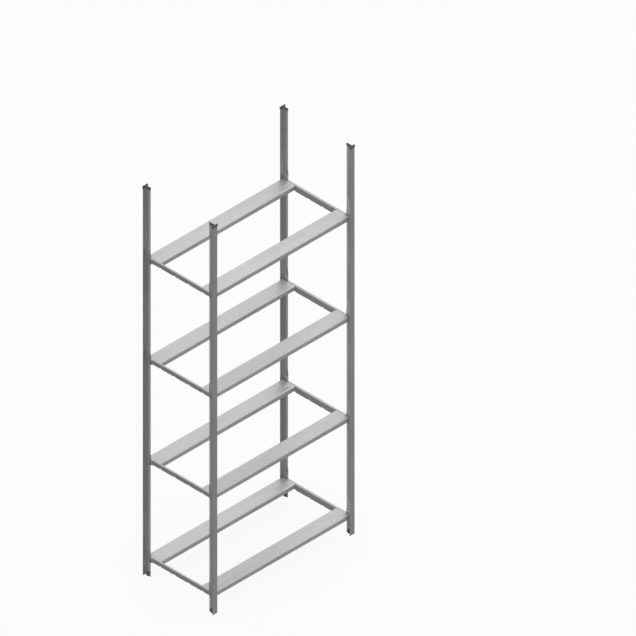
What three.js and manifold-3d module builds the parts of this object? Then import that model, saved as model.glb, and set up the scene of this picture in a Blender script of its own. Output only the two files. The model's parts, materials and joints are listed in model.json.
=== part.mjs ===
// Tyre storage rack: a boltless starter bay with four levels.
// Four T-section uprights carry depth rails on hook clips. On each level two wide flat beams hang between the
// rails, and tyres stand across the gap between them.
// Millimetres. +Z is up, X is the width of the bay, and the front faces -Y. The origin is on the floor, under
// the middle of the rack.

import * as THREE from 'three';
import { mergeVertices } from 'three/addons/utils/BufferGeometryUtils.js';
import Module from 'manifold-3d';

const wasm = await Module();
wasm.setup();

// Driving dimensions of the rack.
const bayWidth = 1136; // between the middle planes of the left and right stems
const frameDepth = 576; // between the middle planes of the front and back flanges
const rackHeight = 2786;
const holePitch = 20; // pitch of the slots in the stems, which sets where a level can be
const lowestLevelTop = 139;
const levelPitches = [0, 35, 71, 107]; // hole pitches from the lowest level to each level
const gap = 0.3; // left between pieces that touch

// Upright: a flange across the outside with a folded double stem behind it.
const flangeWidth = 40;
const flangeSheet = 3;
const stemThickness = 3;
const stemDepth = 45; // from the outer face of the flange to the free edge of the stem
const stemRadius = 2; // where the stem turns into the flange

// Top cap and foot.
const capWall = 1.2;
const capTop = 3;
const capSkirt = 14;
const capFillet = 5; // in the two inner corners of the T
const footBase = 2.5;
const footWall = 0.3; // how far the base stands out past the upright
const footHeight = 28;
const footWidth = 18; // of the block, at the end nearer the flange
const footEndWidth = 12;
const footStart = 19; // from the outer face of the flange to the start of the block
const footEnd = 34; // and to its end

// Hook clip: a U of sheet that straddles the stem. Its outer plate reaches higher than its bay-side plate.
const sheet = 1.5;
const clipOuterTop = 69; // above the top of the rail
const clipOuterBelow = 20; // below the top of the rail
const clipInnerTop = 36;
const clipInnerBelow = 17;
const clipStart = 13; // from the outer face of the flange to the open edge of the clip
const clipSlack = 0.5; // from the free edge of the stem to the centre of the clip's bend
const clipCorner = 18;
const clipFoot = 5;

// Depth rail: an L of sheet, web on the bay side of the stem and top flange turned outwards. Each end of the
// web steps back towards the stem, where it lies against the bay-side plate of the clip.
const railHeight = 42;
const railFlange = 13.5;
const railOffset = 12.2; // from the middle plane of the stem to the outer side of the web
const railFlangeStart = 50; // from the outer face of the upright's flange to the rail's own top flange
const railEndGap = 14; // from the middle plane of an upright's flange to the end of the web
const railStepStart = 57; // from the outer face of the upright's flange to where the web starts to step back
const railStepEnd = 47; // to where it lies against the clip
const bendRadius = 3; // outside radius of a folded edge
const notchPitch = 116;
const notchWidth = 14;
const notchDepth = 4;

// Tyre beam: a wide flat top with both long edges turned down, and two hooks at each end.
const beamWidth = 106;
const beamFlange = 30;
const beamInset = 12.6; // from the middle plane of the uprights' flanges to the outer edge of the beam
const beamEndGap = 1.2; // from the web of the rail to the end of the beam's top
const hookWidth = 18;
const hookDrop = 16;
const hookOffsets = [2, 38]; // from the middle of the beam towards the middle of the rack

// Places that follow from the dimensions above. Distances "out" are measured in X from the middle plane of a
// stem towards the bay.
const levelTops = levelPitches.map((pitches) => lowestLevelTop + pitches * holePitch);
const flangeFace = frameDepth / 2 + flangeSheet / 2;
const clipInner = stemThickness / 2 + gap;
const clipOuter = clipInner + sheet;
const tabInner = clipOuter + gap;
const webInner = railOffset;
const webOuter = webInner + sheet;
const beamEnd = webOuter + beamEndGap;
const beamMiddle = frameDepth / 2 - beamInset - beamWidth / 2;

const galvanised = new THREE.MeshStandardMaterial({ color: 0xa9aaae, roughness: 0.45, metalness: 0.85 });
const brightZinc = new THREE.MeshStandardMaterial({ color: 0xc6c6cc, roughness: 0.4, metalness: 0.8 });
const darkPlastic = new THREE.MeshStandardMaterial({ color: 0x2c2d2f, roughness: 0.6, metalness: 0 });

const rack = new THREE.Group();

// Solid geometry: joining and cutting closed meshes.

function toSolid(geometry) {
  const bare = geometry.clone();
  bare.deleteAttribute('normal');
  bare.deleteAttribute('uv');
  const merged = mergeVertices(bare, 1e-4);
  const mesh = new wasm.Mesh({
    numProp: 3,
    vertProperties: Float32Array.from(merged.attributes.position.array),
    triVerts: Uint32Array.from(merged.index.array),
  });
  return new wasm.Manifold(mesh);
}

function toGeometry(solid) {
  const mesh = solid.getMesh();
  const geometry = new THREE.BufferGeometry();
  geometry.setAttribute('position', new THREE.BufferAttribute(Float32Array.from(mesh.vertProperties), 3));
  geometry.setIndex(new THREE.BufferAttribute(Uint32Array.from(mesh.triVerts), 1));
  geometry.computeVertexNormals();
  return geometry;
}

function cut(geometry, tools) {
  let solid = toSolid(geometry);
  for (const tool of tools) {
    solid = solid.subtract(toSolid(tool));
  }
  return toGeometry(solid);
}

function join(geometries) {
  let solid = toSolid(geometries[0]);
  for (const geometry of geometries.slice(1)) {
    solid = solid.add(toSolid(geometry));
  }
  return toGeometry(solid);
}

function common(first, second) {
  return toGeometry(toSolid(first).intersect(toSolid(second)));
}

// Extrusions along each axis. The shape is drawn in X and Y, in X and Z, or in Y and Z.

function extrude(shape, length) {
  return new THREE.ExtrudeGeometry(shape, { depth: length, bevelEnabled: false, curveSegments: 3 });
}

function alongZ(shape, from, to) {
  return extrude(shape, to - from).translate(0, 0, from);
}

function alongY(shape, from, to) {
  return extrude(shape, to - from).rotateX(Math.PI / 2).translate(0, to, 0);
}

function alongX(shape, from, to) {
  const turn = new THREE.Matrix4().makeBasis(
    new THREE.Vector3(0, 1, 0),
    new THREE.Vector3(0, 0, 1),
    new THREE.Vector3(1, 0, 0),
  );
  return extrude(shape, to - from).applyMatrix4(turn).translate(from, 0, 0);
}

function polygon(points) {
  return new THREE.Shape(points.map(([x, y]) => new THREE.Vector2(x, y)));
}

function block(x, y, z) {
  const size = [x[1] - x[0], y[1] - y[0], z[1] - z[0]];
  const middle = [(x[0] + x[1]) / 2, (y[0] + y[1]) / 2, (z[0] + z[1]) / 2];
  return new THREE.BoxGeometry(...size).translate(...middle);
}

function place(name, geometry, material, position, turned = false) {
  const mesh = new THREE.Mesh(geometry, material);
  mesh.name = name;
  mesh.position.set(...position);
  mesh.rotation.z = turned ? Math.PI : 0;
  rack.add(mesh);
}

// The section of an upright, grown outwards by a margin. The outer face of the flange lies at y = 0 and the
// stem runs towards +Y.
function uprightSection(margin, radius) {
  const halfFlange = flangeWidth / 2 + margin;
  const halfStem = stemThickness / 2 + margin;
  const inside = flangeSheet + margin;
  const shape = new THREE.Shape();
  shape.moveTo(-halfFlange, -margin);
  shape.lineTo(halfFlange, -margin);
  shape.lineTo(halfFlange, inside);
  if (radius > 0) {
    shape.lineTo(halfStem + radius, inside);
    shape.absarc(halfStem + radius, inside + radius, radius, -Math.PI / 2, -Math.PI, true);
  } else {
    shape.lineTo(halfStem, inside);
  }
  shape.lineTo(halfStem, stemDepth + margin);
  shape.lineTo(-halfStem, stemDepth + margin);
  if (radius > 0) {
    shape.lineTo(-halfStem, inside + radius);
    shape.absarc(-halfStem - radius, inside + radius, radius, 0, -Math.PI / 2, true);
  } else {
    shape.lineTo(-halfStem, inside);
  }
  shape.lineTo(-halfFlange, inside);
  return shape;
}

function makeUpright() {
  return alongZ(uprightSection(0, stemRadius), footBase + gap, rackHeight - capTop - gap);
}

// The cap is a T-shaped lid with a skirt down all sides of the upright.
function makeCap() {
  const bottom = rackHeight - capTop - capSkirt;
  const outer = alongZ(uprightSection(gap + capWall, capFillet), bottom, rackHeight);
  const pocket = alongZ(uprightSection(gap, stemRadius), bottom - 1, rackHeight - capTop);
  return cut(outer, [pocket]);
}

// The foot has a T-shaped base under the whole upright, and a block round the middle of the stem that tapers
// towards its free edge.
function makeFoot() {
  const block = polygon([
    [-footWidth / 2, footStart],
    [footWidth / 2, footStart],
    [footEndWidth / 2, footEnd],
    [-footEndWidth / 2, footEnd],
  ]);
  const base = alongZ(uprightSection(gap + footWall, 0), 0, footBase);
  const stemSlot = alongZ(uprightSection(gap, stemRadius), footBase, footHeight + 1);
  return cut(join([base, alongZ(block, 0, footHeight)]), [stemSlot]);
}

// One plate of the clip seen from the side, with a large round corner at the top of the bend.
function clipSide(top, below, end) {
  const side = new THREE.Shape();
  side.moveTo(clipStart, -below);
  side.lineTo(end - clipFoot, -below);
  side.lineTo(end, -below + clipFoot);
  side.lineTo(end, top - clipCorner);
  side.absarc(end - clipCorner, top - clipCorner, clipCorner, 0, Math.PI / 2, false);
  side.lineTo(clipStart, top);
  return side;
}

// The clip's U is drawn round the stem. The outer plate keeps its full height, and the rest is lower. Its side
// away from the bay is at -X or at +X.
function makeClip(outward) {
  const bend = stemDepth + clipSlack;
  const section = new THREE.Shape();
  section.moveTo(clipInner, clipStart);
  section.lineTo(clipOuter, clipStart);
  section.lineTo(clipOuter, bend);
  section.absarc(0, bend, clipOuter, 0, Math.PI, false);
  section.lineTo(-clipOuter, clipStart);
  section.lineTo(-clipInner, clipStart);
  section.lineTo(-clipInner, bend);
  section.absarc(0, bend, clipInner, Math.PI, 0, true);
  const end = bend + clipOuter;
  const [start, split, stop] = [-clipOuter - 1, outward * clipInner, clipOuter + 1];
  const [tall, low] = outward < 0 ? [[start, split], [split, stop]] : [[split, stop], [start, split]];
  const outerPlate = alongX(clipSide(clipOuterTop, clipOuterBelow, end), ...tall);
  const rest = alongX(clipSide(clipInnerTop, clipInnerBelow, end + 1), ...low);
  return common(alongZ(section, -clipOuterBelow, clipOuterTop), join([outerPlate, rest]));
}

// An L-shaped sheet section: a web from the bottom up to z = 0, and a top flange that runs towards -X.
function railSection() {
  const flangeEdge = webOuter - railFlange;
  const insideRadius = bendRadius - sheet;
  const shape = new THREE.Shape();
  shape.moveTo(webOuter, -railHeight);
  shape.lineTo(webOuter, -bendRadius);
  shape.absarc(webOuter - bendRadius, -bendRadius, bendRadius, 0, Math.PI / 2, false);
  shape.lineTo(flangeEdge, 0);
  shape.lineTo(flangeEdge, -sheet);
  shape.lineTo(webOuter - bendRadius, -sheet);
  shape.absarc(webOuter - bendRadius, -bendRadius, insideRadius, Math.PI / 2, 0, true);
  shape.lineTo(webInner, -railHeight);
  return shape;
}

// The end of the web seen from above: it steps back from the main web to a tab against the clip.
function railTab(side) {
  const start = side * (flangeFace - railStepStart);
  const end = side * (flangeFace - railStepEnd);
  const tip = side * (frameDepth / 2 - railEndGap);
  return polygon([
    [webOuter, start - side],
    [webOuter, start],
    [tabInner + sheet, end],
    [tabInner + sheet, tip],
    [tabInner, tip],
    [tabInner, end],
    [webInner, start],
    [webInner, start - side],
  ]);
}

// The slots of one beam hook in a rail: the hook lies in a shallow notch over the web, and its leg passes
// down through a deeper one behind it.
function hookSlots(y) {
  const span = [y - hookWidth / 2 - 2 * gap, y + hookWidth / 2 + 2 * gap];
  const legInner = webInner - gap - sheet;
  const clear = bendRadius + sheet;
  return [
    block([legInner - gap, webOuter + 1], span, [-sheet - gap, 1]),
    block([legInner - gap, webInner], span, [-clear, 1]),
  ];
}

function makeRail() {
  const main = flangeFace - railStepStart;
  const pieces = [alongY(railSection(), -main, main)];
  const tools = [];
  for (const side of [-1, 1]) {
    const flangeSpan = [side * (main - 1), side * (flangeFace - railFlangeStart)].sort((a, b) => a - b);
    pieces.push(block([webOuter - railFlange, webOuter - bendRadius], flangeSpan, [-sheet, 0]));
    pieces.push(alongZ(railTab(side), -railHeight, -bendRadius));
    for (const offset of hookOffsets) {
      tools.push(...hookSlots(side * (beamMiddle - offset)));
    }
    for (const step of [0.5, 1.5]) {
      const y = side * step * notchPitch;
      const span = [y - notchWidth / 2, y + notchWidth / 2];
      tools.push(block([0, webOuter + 1], span, [-railHeight - 1, notchDepth - railHeight]));
    }
  }
  return cut(join(pieces), tools);
}

// A wide channel open at the bottom, centred on y = 0 with its top at z = 0.
function beamSection() {
  const half = beamWidth / 2;
  const inner = bendRadius - sheet;
  const turn = Math.PI / 2;
  const shape = new THREE.Shape();
  shape.moveTo(-half, -beamFlange);
  shape.lineTo(-half + sheet, -beamFlange);
  shape.lineTo(-half + sheet, -bendRadius);
  shape.absarc(-half + bendRadius, -bendRadius, inner, Math.PI, turn, true);
  shape.lineTo(half - bendRadius, -sheet);
  shape.absarc(half - bendRadius, -bendRadius, inner, turn, 0, true);
  shape.lineTo(half - sheet, -beamFlange);
  shape.lineTo(half, -beamFlange);
  shape.lineTo(half, -bendRadius);
  shape.absarc(half - bendRadius, -bendRadius, bendRadius, 0, turn, false);
  shape.lineTo(-half + bendRadius, 0);
  shape.absarc(-half + bendRadius, -bendRadius, bendRadius, turn, Math.PI, false);
  return shape;
}

// A hook at the left end of a beam: a tongue level with the top, and a leg down behind the web of the rail.
function hookSection(left) {
  const tip = left - (beamEnd - webInner + gap + sheet);
  const radius = sheet;
  const shape = new THREE.Shape();
  shape.moveTo(left + sheet, -sheet);
  shape.lineTo(left + sheet, 0);
  shape.lineTo(tip + radius, 0);
  shape.absarc(tip + radius, -radius, radius, Math.PI / 2, Math.PI, false);
  shape.lineTo(tip, -hookDrop);
  shape.lineTo(tip + sheet, -hookDrop);
  shape.lineTo(tip + sheet, -sheet);
  return shape;
}

// The front beam. The back one is the same piece turned round, so the hooks are always on its inner half.
function makeBeam() {
  const halfLength = bayWidth / 2 - beamEnd;
  const pieces = [alongX(beamSection(), -halfLength, halfLength)];
  for (const offset of hookOffsets) {
    const hook = alongY(hookSection(-halfLength), offset - hookWidth / 2, offset + hookWidth / 2);
    const mirrored = hook.clone().rotateZ(Math.PI).translate(0, 2 * offset, 0);
    pieces.push(hook, mirrored);
  }
  return join(pieces);
}

// Assembly.

const upright = makeUpright();
const cap = makeCap();
const foot = makeFoot();
const clips = { '-1': makeClip(-1), 1: makeClip(1) };
const rail = makeRail();
const beam = makeBeam();

const sides = [['left', -1], ['right', 1]];
const rows = [['front', -1], ['back', 1]];

for (const [side, sx] of sides) {
  for (const [row, sy] of rows) {
    const corner = [sx * bayWidth / 2, sy * flangeFace, 0];
    const turned = row === 'back';
    place(`upright_${row}_${side}`, upright, galvanised, corner, turned);
    place(`cap_${row}_${side}`, cap, darkPlastic, corner, turned);
    place(`foot_${row}_${side}`, foot, darkPlastic, corner, turned);
  }
}

levelTops.forEach((top, index) => {
  const level = index + 1;
  for (const [side, sx] of sides) {
    place(`rail_${side}_level_${level}`, rail, galvanised, [sx * bayWidth / 2, 0, top], side === 'right');
    for (const [row, sy] of rows) {
      const corner = [sx * bayWidth / 2, sy * flangeFace, top];
      place(`clip_${row}_${side}_level_${level}`, clips[-sx * sy], galvanised, corner, row === 'back');
    }
  }
  for (const [row, sy] of rows) {
    place(`beam_${row}_level_${level}`, beam, brightZinc, [0, sy * beamMiddle, top], row === 'back');
  }
});

export default rack;
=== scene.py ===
"""Tyre storage rack: the visible model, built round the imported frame.

The uprights are made as what they are, slotted sheet folded along its length. The other pieces keep the shape
of their solids and get rounded edges. Metres, with +Z up, X along the bay and the front facing -Y.
"""

import json
import math

import bmesh
import bpy
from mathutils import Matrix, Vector

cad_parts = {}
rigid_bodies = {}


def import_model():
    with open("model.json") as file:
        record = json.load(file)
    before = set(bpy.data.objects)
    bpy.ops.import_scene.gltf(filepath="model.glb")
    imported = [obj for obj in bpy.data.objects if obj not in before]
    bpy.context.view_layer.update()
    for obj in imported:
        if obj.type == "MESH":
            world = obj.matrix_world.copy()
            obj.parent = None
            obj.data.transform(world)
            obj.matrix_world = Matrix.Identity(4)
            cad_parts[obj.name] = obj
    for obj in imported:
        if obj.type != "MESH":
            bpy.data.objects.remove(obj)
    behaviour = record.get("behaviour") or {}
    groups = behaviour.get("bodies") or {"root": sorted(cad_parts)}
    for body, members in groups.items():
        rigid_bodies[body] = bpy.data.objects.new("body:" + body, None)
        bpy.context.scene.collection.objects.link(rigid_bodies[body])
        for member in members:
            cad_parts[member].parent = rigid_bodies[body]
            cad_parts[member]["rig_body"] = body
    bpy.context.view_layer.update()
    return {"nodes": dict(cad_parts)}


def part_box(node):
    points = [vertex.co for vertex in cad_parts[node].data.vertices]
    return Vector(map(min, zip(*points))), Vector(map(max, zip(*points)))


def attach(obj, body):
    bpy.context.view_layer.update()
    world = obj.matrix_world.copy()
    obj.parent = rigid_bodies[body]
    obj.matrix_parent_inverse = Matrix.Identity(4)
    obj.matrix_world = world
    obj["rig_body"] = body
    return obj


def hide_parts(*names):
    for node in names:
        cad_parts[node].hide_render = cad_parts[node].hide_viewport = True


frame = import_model()

MM = 0.001
SIDES = {"left": 1, "right": -1}  # the X direction from the upright towards the bay
ROWS = {"front": 1, "back": -1}  # the Y direction from the outer face of the flange towards the rack's middle
QUARTER = math.pi / 2

# Upright
UPRIGHT_PLY = 1.5 * MM
PLY_GAP = 0.06 * MM
FLANGE_BEND = 2.25 * MM  # radius of the middle of the sheet where the stem turns into the flange
SLOT_PITCH = 20 * MM
SLOT_HEIGHT = 10 * MM
SLOT_LIFT = 8 * MM  # height of the slot centres above whole pitches
SLOT_ROWS = ((9 * MM, 17 * MM), (34.5 * MM, 41 * MM))  # from the outer face of the flange

# Rolled grain of the steel, as noise per metre
GRAIN_ACROSS = 420.0
GRAIN_ALONG = 9.0

# Mesh building
WELD = 1e-6  # points nearer than this become one
ARC_STEPS = 6
HEM_STEPS = 8
FLAT_ANGLE = math.radians(1)  # faces that meet at less than this are one flat face
SHARP_ANGLE = math.radians(40)  # edges that turn by more than this are rounded
SMOOTH_ANGLE = math.radians(35)  # edges that turn by more than this stay crisp in the shading
STEEL_ROUNDING = 0.3 * MM
PLASTIC_ROUNDING = 0.4 * MM

# View and light
VIEW_WIDTH = 3.722  # width of the picture
VIEW_RIGHT = 0.4058  # from the rack's origin to the middle of the picture, along the picture's own axes
VIEW_UP = 1.3814
VIEW_DISTANCE = 12.0
VIEW_REACH = 1000  # far enough to see the whole floor
VIEW_AZIMUTH = math.radians(-45)
VIEW_ELEVATION = math.atan(1 / math.sqrt(2))


# Brightness of the sky as (low, high, start, end): it changes from low at start to high at end of the
# direction's Z, X or Y.
SKY_LOWER = (0.25, 0.85, -0.06, 0.1)
SKY_UPPER = (0.0, 0.15, 0.1, 1)
SKY_ALONG_X = (0.95, 1.05, -1, 1)
SKY_ALONG_Y = (1.14, 0.86, -1, 1)
BACKDROP = 0.96
FLOOR_HALF = 200.0

# Materials


class Nodes:
    """A short way to write a node material."""

    def __init__(self, name):
        self.material = bpy.data.materials.new(name)
        self.material.use_nodes = True
        self.tree = self.material.node_tree
        self.shader = self.tree.nodes["Principled BSDF"]

    def add(self, kind, inputs=(), **settings):
        node = self.tree.nodes.new(kind)
        for key, value in settings.items():
            setattr(node, key, value)
        for key, value in dict(inputs).items():
            if isinstance(value, bpy.types.NodeSocket):
                self.tree.links.new(value, node.inputs[key])
            else:
                node.inputs[key].default_value = value
        return node

    def coordinates(self, scale):
        place = self.add("ShaderNodeTexCoord")
        return self.add("ShaderNodeMapping", {"Vector": place.outputs["Object"], "Scale": scale}).outputs[0]

    def noise(self, scale, detail, at):
        inputs = {"Vector": at, "Scale": scale, "Detail": detail, "Roughness": 0.55}
        return self.add("ShaderNodeTexNoise", inputs).outputs["Fac"]

    def ramp(self, factor, low, high, start=0.3, end=0.7):
        """Maps a factor from start..end onto two grey levels or colours."""
        inputs = {"Value": factor, "From Min": start, "From Max": end, "To Min": low, "To Max": high}
        return self.add("ShaderNodeMapRange", inputs).outputs["Result"]

    def multiply(self, first, second):
        return self.add("ShaderNodeMath", {0: first, 1: second}, operation="MULTIPLY").outputs[0]

    def tint(self, value, colour):
        """A colour scaled by a value."""
        scaled = self.add("ShaderNodeVectorMath", {0: colour, "Scale": value}, operation="SCALE")
        return scaled.outputs[0]

    def link(self, output, name):
        self.tree.links.new(output, self.shader.inputs[name])

    def bump(self, height, distance, strength):
        inputs = {"Height": height, "Distance": distance, "Strength": strength}
        self.link(self.add("ShaderNodeBump", inputs).outputs["Normal"], "Normal")


def galvanised_steel(name, colour, grain_axis, spangle, roughness):
    """Zinc-coated sheet: faint crystals, a rolled grain along one axis, and slow changes of tone."""
    n = Nodes(name)
    even = n.coordinates((1, 1, 1))
    stretched = [GRAIN_ACROSS, GRAIN_ACROSS, GRAIN_ACROSS]
    stretched[grain_axis] = GRAIN_ALONG
    grain = n.noise(1.0, 3, n.coordinates(stretched))
    crystals = n.add("ShaderNodeTexVoronoi", {"Vector": even, "Scale": 1 / spangle})
    crystal = n.add("ShaderNodeSeparateColor", {"Color": crystals.outputs["Color"]}).outputs["Red"]
    patches = n.noise(3.5, 4, even)
    tone = n.multiply(n.ramp(crystal, 0.955, 1.045, 0, 1), n.ramp(grain, 0.965, 1.035))
    tone = n.multiply(tone, n.ramp(patches, 0.96, 1.04))
    n.link(n.tint(tone, colour), "Base Color")
    dull = n.multiply(n.ramp(crystal, 0.9, 1.1, 0, 1), n.ramp(patches, roughness * 0.92, roughness * 1.1))
    n.link(dull, "Roughness")
    n.shader.inputs["Metallic"].default_value = 0.9
    n.bump(grain, 0.05 * MM, 0.25)
    return n.material


def cut_edge_steel():
    """The bare sheared edge of the sheet: darker, with fine marks across it."""
    n = Nodes("cut_edge")
    marks = n.noise(900.0, 2, n.coordinates((1, 1, 1)))
    n.link(n.tint(n.ramp(marks, 0.75, 1.15), (0.3, 0.3, 0.3)), "Base Color")
    n.link(n.ramp(marks, 0.45, 0.65), "Roughness")
    n.shader.inputs["Metallic"].default_value = 0.8
    n.bump(marks, 0.05 * MM, 0.4)
    return n.material


def moulded_plastic():
    """Dark polypropylene with a fine spark-eroded grain and faint scuffs."""
    n = Nodes("dark_plastic")
    even = n.coordinates((1, 1, 1))
    grain = n.noise(1600.0, 2, even)
    scuffs = n.noise(60.0, 5, even)
    n.link(n.tint(n.ramp(scuffs, 0.85, 1.3), (0.1, 0.1, 0.102)), "Base Color")
    n.link(n.ramp(scuffs, 0.42, 0.6), "Roughness")
    n.bump(grain, 0.08 * MM, 0.5)
    return n.material


def floor_paint():
    """A pale studio floor that is lit evenly from below, so that only faint shadows show on it."""
    n = Nodes("pale_floor")
    n.shader.inputs["Base Color"].default_value = (0.08, 0.08, 0.08, 1)
    n.shader.inputs["Roughness"].default_value = 0.9
    n.shader.inputs["Specular IOR Level"].default_value = 0.0
    n.shader.inputs["Emission Color"].default_value = (1, 1, 1, 1)
    n.shader.inputs["Emission Strength"].default_value = 0.9
    return n.material


# The four steels are one galvanised sheet. The beam and rail steels get lighter base colours than the upright
# and clip steels: painted light, standing in for the brighter light on the tops of the beams and rails.
upright_steel = galvanised_steel("upright_steel", (0.57, 0.57, 0.565), 2, 5 * MM, 0.42)
rail_steel = galvanised_steel("rail_steel", (0.6, 0.6, 0.6), 1, 5 * MM, 0.42)
clip_steel = galvanised_steel("clip_steel", (0.56, 0.56, 0.56), 2, 5 * MM, 0.46)
beam_steel = galvanised_steel("beam_steel", (0.69, 0.69, 0.70), 0, 4 * MM, 0.5)
cut_edge = cut_edge_steel()
dark_plastic = moulded_plastic()


# Folded sheet


def arc(centre, radius, start, end, steps=ARC_STEPS):
    """Points on an arc, from one angle to another."""
    angles = [start + (end - start) * i / steps for i in range(steps + 1)]
    return [(centre[0] + radius * math.cos(a), centre[1] + radius * math.sin(a)) for a in angles]


def with_lines(lines, extra):
    """Sorted positions with more put in, leaving out near repeats."""
    merged = []
    for value in sorted(list(lines) + list(extra)):
        if not merged or value - merged[-1] > WELD:
            merged.append(value)
    return merged


def run_of(path):
    """The length along the section at each of its points."""
    total = [0.0]
    for (a0, b0), (a1, b1) in zip(path, path[1:]):
        total.append(total[-1] + math.hypot(a1 - a0, b1 - b0))
    return total


def section_frames(path, stations):
    """Point and normal of the section at each station. At a corner of the path the normal is the average."""
    runs = run_of(path)
    tangents = []
    for (a0, b0), (a1, b1) in zip(path, path[1:]):
        length = math.hypot(a1 - a0, b1 - b0)
        tangents.append(((a1 - a0) / length, (b1 - b0) / length))
    frames = []
    for s in stations:
        k = max(i for i in range(len(tangents)) if runs[i] <= s + 1e-7)
        part = (s - runs[k]) / (runs[k + 1] - runs[k])
        a = path[k][0] + part * (path[k + 1][0] - path[k][0])
        b = path[k][1] + part * (path[k + 1][1] - path[k][1])
        ta, tb = tangents[k]
        if k > 0 and abs(s - runs[k]) < 1e-7:
            ta, tb = ta + tangents[k - 1][0], tb + tangents[k - 1][1]
            size = math.hypot(ta, tb)
            ta, tb = ta / size, tb / size
        frames.append(((a, b), (-tb, ta)))
    return frames


def folded_sheet(path, length, thickness, holes):
    """A closed mesh of a sheet that follows path across its section and runs from length[0] to length[1].

    holes are (run start, run end, start, end) boxes that are left out. Returns points (a, b, l) and faces.
    Each face comes with True where it is a cut edge of the sheet.
    """
    stations = with_lines(run_of(path), [h[i] for h in holes for i in (0, 1)])
    lines = with_lines(length, [h[i] for h in holes for i in (2, 3)])
    lines = [l for l in lines if length[0] - 1e-7 <= l <= length[1] + 1e-7]
    frames = section_frames(path, stations)

    def open_cell(i, j):
        if not (0 <= i < len(stations) - 1 and 0 <= j < len(lines) - 1):
            return True
        s = (stations[i] + stations[i + 1]) / 2
        l = (lines[j] + lines[j + 1]) / 2
        return any(h[0] < s < h[1] and h[2] < l < h[3] for h in holes)

    points, index, faces = [], {}, []

    def vertex(i, j, side):
        key = (i, j, side)
        if key not in index:
            (a, b), (na, nb) = frames[i]
            shift = side * thickness / 2
            index[key] = len(points)
            points.append((a + na * shift, b + nb * shift, lines[j]))
        return index[key]

    def wall(i0, j0, i1, j1):
        faces.append(([vertex(i0, j0, 1), vertex(i0, j0, -1), vertex(i1, j1, -1), vertex(i1, j1, 1)], True))

    for i in range(len(stations) - 1):
        for j in range(len(lines) - 1):
            if open_cell(i, j):
                continue
            around = [(i, j), (i + 1, j), (i + 1, j + 1), (i, j + 1)]
            faces.append(([vertex(p, q, 1) for p, q in around], False))
            faces.append(([vertex(p, q, -1) for p, q in reversed(around)], False))
            for di, dj, edge in ((0, -1, (0, 1)), (1, 0, (1, 2)), (0, 1, (2, 3)), (-1, 0, (3, 0))):
                if open_cell(i + di, j + dj):
                    wall(*around[edge[0]], *around[edge[1]])
    return points, faces


def object_from(name, points, faces, place, materials):
    """One mesh object from a folded sheet. Its cut edges get the second material."""
    mesh = bpy.data.meshes.new(name)
    bm = bmesh.new()
    verts = [bm.verts.new(place(*p)) for p in points]
    for corners, is_edge in faces:
        face = bm.faces.new([verts[c] for c in corners])
        face.material_index = 1 if is_edge else 0
    bmesh.ops.remove_doubles(bm, verts=bm.verts, dist=WELD)
    bmesh.ops.recalc_face_normals(bm, faces=bm.faces)
    bm.to_mesh(mesh)
    bm.free()
    piece = bpy.data.objects.new(name, mesh)
    bpy.context.scene.collection.objects.link(piece)
    for material in materials:
        mesh.materials.append(material)
    shade(piece)
    return piece


def shade(piece):
    for polygon in piece.data.polygons:
        polygon.use_smooth = True
    piece.data.set_sharp_from_angle(angle=SMOOTH_ANGLE)


def copy_of(piece, name, turn):
    """The same mesh moved by a function of its points."""
    twin = bpy.data.objects.new(name, piece.data.copy())
    bpy.context.scene.collection.objects.link(twin)
    for vertex in twin.data.vertices:
        vertex.co = turn(vertex.co)
    return twin


def finish_piece(piece, node):
    piece.name = node + "_finished"
    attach(piece, frame["nodes"][node]["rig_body"])
    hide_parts(node)


# Where a local point goes. A local point has x from the stem towards the bay, y from the outer face of the
# flange towards the rack's middle, and z up.


def corner_place(row, side, top):
    low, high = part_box(f"upright_{row}_{side}")
    middle = (low.x + high.x) / 2
    face = low.y if row == "front" else high.y
    sx, sy = SIDES[side], ROWS[row]
    return lambda x, y, z: Vector((middle + sx * x, face + sy * y, top + z))


# Uprights


def upright_path():
    """The sheet's middle line, from the free edge of one ply round the flange to the other."""
    low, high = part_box("upright_front_left")
    half_flange = (high.x - low.x) / 2
    depth = high.y - low.y
    ply = (UPRIGHT_PLY + PLY_GAP) / 2
    hem = ply
    back = 3 * ply
    side = arc((-half_flange + hem + ply, 2 * ply), hem, QUARTER, 3 * QUARTER, HEM_STEPS)
    turn = arc((-ply - FLANGE_BEND, back + FLANGE_BEND), FLANGE_BEND, 0, -QUARTER)
    left = [(-ply, depth)] + turn + side
    right = [(-u, v) for u, v in reversed(left)]
    return left + right, depth


def upright_holes(path, depth, bottom, top):
    total = run_of(path)[-1]
    holes = []
    first = math.ceil((bottom + SLOT_HEIGHT - SLOT_LIFT) / SLOT_PITCH)
    last = math.floor((top - SLOT_HEIGHT - SLOT_LIFT) / SLOT_PITCH)
    for k in range(first, last + 1):
        centre = k * SLOT_PITCH + SLOT_LIFT
        for near, far in SLOT_ROWS:
            for s0, s1 in ((depth - far, depth - near), (total - depth + near, total - depth + far)):
                holes.append((s0, s1, centre - SLOT_HEIGHT / 2, centre + SLOT_HEIGHT / 2))
    return holes


def make_uprights():
    path, depth = upright_path()
    low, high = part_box("upright_front_left")
    holes = upright_holes(path, depth, low.z, high.z)
    points, faces = folded_sheet(path, (low.z, high.z), UPRIGHT_PLY, holes)
    first = None
    for row in ROWS:
        for side in SIDES:
            node = f"upright_{row}_{side}"
            place = corner_place(row, side, 0)
            if first is None:
                first = object_from(node + "_mesh", points, faces, place, [upright_steel, cut_edge])
                home = place(0, 0, 0)
                piece = first
            else:
                spot = place(0, 0, 0)
                turn = ROWS[row]
                piece = copy_of(
                    first,
                    node + "_mesh",
                    lambda p: Vector((spot.x + turn * (p.x - home.x), spot.y + turn * (p.y - home.y), p.z)),
                )
            finish_piece(piece, node)


# The other pieces keep the shape of their solids and get rounded edges.

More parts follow.
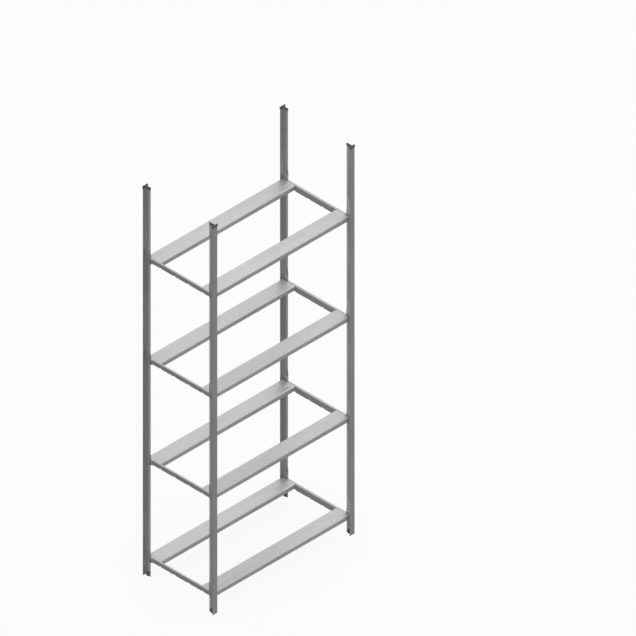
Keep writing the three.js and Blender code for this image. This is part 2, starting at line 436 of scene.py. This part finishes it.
PIECES = {
    "rail": (rail_steel, "rail_steel", STEEL_ROUNDING),
    "clip": (clip_steel, "clip_steel", STEEL_ROUNDING),
    "beam": (beam_steel, "beam_steel", STEEL_ROUNDING),
    "cap": (dark_plastic, "dark_plastic", PLASTIC_ROUNDING),
    "foot": (dark_plastic, "dark_plastic", PLASTIC_ROUNDING),
}


def rounded_mesh(node, material, width):
    """The solid's mesh in world coordinates, with flat faces made whole and sharp edges rounded."""
    mesh = bpy.data.meshes.new(node.name + "_mesh")
    bm = bmesh.new()
    bm.from_mesh(node.data)
    bm.transform(node.matrix_world)
    bmesh.ops.remove_doubles(bm, verts=bm.verts, dist=2 * WELD)
    bmesh.ops.dissolve_limit(bm, angle_limit=FLAT_ANGLE, verts=bm.verts, edges=bm.edges)
    sharp = [e for e in bm.edges if len(e.link_faces) == 2 and e.calc_face_angle() > SHARP_ANGLE]
    bmesh.ops.bevel(bm, geom=sharp, offset=width, segments=2, profile=0.5, affect="EDGES", clamp_overlap=True)
    bm.to_mesh(mesh)
    bm.free()
    mesh.materials.append(material)
    return mesh


def make_rounded_pieces():
    for name, node in list(frame["nodes"].items()):
        kind = name.split("_")[0]
        if kind not in PIECES:
            continue
        material, slot, width = PIECES[kind]
        piece = bpy.data.objects.new(name + "_mesh", rounded_mesh(node, material, width))
        bpy.context.scene.collection.objects.link(piece)
        shade(piece)
        finish_piece(piece, name)


make_uprights()
make_rounded_pieces()


# Stage, light and view


def make_floor():
    mesh = bpy.data.meshes.new("floor")
    half = FLOOR_HALF
    corners = [(-half, -half, 0), (half, -half, 0), (half, half, 0), (-half, half, 0)]
    mesh.from_pydata(corners, [], [(0, 1, 2, 3)])
    floor = bpy.data.objects.new("floor", mesh)
    bpy.context.scene.collection.objects.link(floor)
    mesh.materials.append(floor_paint())
    floor.visible_glossy = False
    floor.visible_diffuse = False


def make_world():
    """A plain pale backdrop for the camera, and for the light a pale sky over a grey lower half."""
    world = bpy.data.worlds.new("studio")
    bpy.context.scene.world = world
    world.use_nodes = True
    tree = world.node_tree
    background = tree.nodes["Background"]
    place = tree.nodes.new("ShaderNodeTexCoord")
    split = tree.nodes.new("ShaderNodeSeparateXYZ")
    tree.links.new(place.outputs["Generated"], split.inputs[0])

    def spread(axis, low, high, start=-1, end=1):
        part = tree.nodes.new("ShaderNodeMapRange")
        values = {"From Min": start, "From Max": end, "To Min": low, "To Max": high}
        for name, value in values.items():
            part.inputs[name].default_value = value
        tree.links.new(split.outputs[axis], part.inputs["Value"])
        return part.outputs["Result"]

    def combine(operation, first, second):
        node = tree.nodes.new("ShaderNodeMath")
        node.operation = operation
        tree.links.new(first, node.inputs[0])
        tree.links.new(second, node.inputs[1])
        return node.outputs[0]

    height = combine("ADD", spread("Z", *SKY_LOWER), spread("Z", *SKY_UPPER))
    around = combine("MULTIPLY", spread("X", *SKY_ALONG_X), spread("Y", *SKY_ALONG_Y))
    light = combine("MULTIPLY", height, around)
    seen = tree.nodes.new("ShaderNodeLightPath").outputs["Is Camera Ray"]
    mix = tree.nodes.new("ShaderNodeMix")
    tree.links.new(seen, mix.inputs["Factor"])
    tree.links.new(light, mix.inputs["A"])
    mix.inputs["B"].default_value = BACKDROP
    tree.links.new(mix.outputs["Result"], background.inputs["Color"])


def make_camera():
    data = bpy.data.cameras.new("view")
    data.type = "ORTHO"
    data.ortho_scale = VIEW_WIDTH
    data.clip_end = VIEW_REACH
    camera = bpy.data.objects.new("view", data)
    a, e = VIEW_AZIMUTH, VIEW_ELEVATION
    back = Vector((math.sin(a) * math.cos(e), -math.cos(a) * math.cos(e), math.sin(e)))
    right = Vector((math.cos(a), math.sin(a), 0))
    up = back.cross(right)
    camera.location = right * VIEW_RIGHT + up * VIEW_UP + back * VIEW_DISTANCE
    camera.rotation_euler = back.to_track_quat("Z", "Y").to_euler()
    bpy.context.scene.collection.objects.link(camera)
    bpy.context.scene.camera = camera


make_floor()
make_world()
make_camera()
bpy.context.scene.view_settings.view_transform = "Standard"
